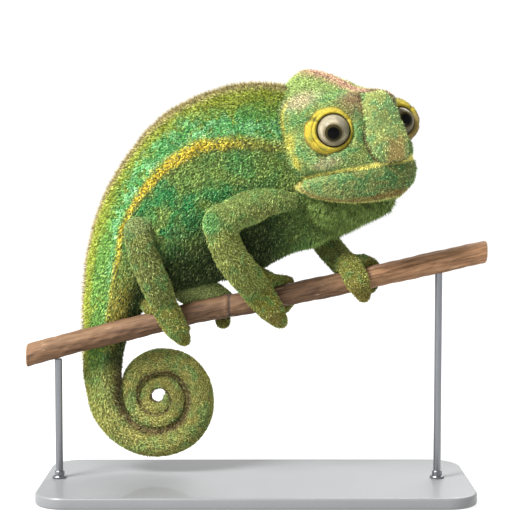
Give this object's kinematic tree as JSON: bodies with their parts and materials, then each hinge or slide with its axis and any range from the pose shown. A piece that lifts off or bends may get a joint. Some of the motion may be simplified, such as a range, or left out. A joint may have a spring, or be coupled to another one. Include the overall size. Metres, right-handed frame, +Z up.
{
  "type": "plush chameleon on a branch perch",
  "caption": "Soft pile-fabric chameleon with glassy eyes and a coiled tail, gripping a cut length of branch that a plain stand holds up.",
  "frame": {"origin": "centre of the stand base's underside", "axes": "+Z up, +X the way the body faces along the perch, +Y towards the animal's left side"},
  "size_m": [0.322, 0.1286, 0.2963],
  "materials": {
    "pile": "short nubby pile, mottled green and teal with a yellow side stripe",
    "snout_pile": "very short green pile with a tan nose tip",
    "lid_felt": "yellow felt",
    "eye": "clear domed, grey-white iris with a black pupil",
    "branch_wood": "peeled brown branch with long streaks and a knot ring",
    "stand_board": "painted off-white, satin",
    "stand_steel": "satin"
  },
  "bodies": {
    "root": {"head": "pile", "lower_jaw": "pile", "throat": "pile", "trunk_front": "pile", "trunk_rear": "pile", "tail_root": "pile", "tail_outer_coil": "pile", "tail_middle_coil": "pile", "tail_tip": "pile", "right_fore_upper_arm": "pile", "right_fore_forearm": "pile", "right_fore_foot": "pile", "right_hind_thigh": "pile", "right_hind_shank": "pile", "right_hind_foot": "pile", "left_fore_upper_arm": "pile", "left_fore_forearm": "pile", "left_fore_foot": "pile", "left_hind_thigh": "pile", "left_hind_shank": "pile", "left_hind_foot": "pile", "snout_pad": "snout_pile", "eyelids_left": "lid_felt", "eyelids_right": "lid_felt", "eye_left": "eye", "eye_right": "eye", "perch": "branch_wood", "stand_base": "stand_board", "stand_rod_left": "stand_steel", "stand_rod_right": "stand_steel"}
  },
  "joints": []
}
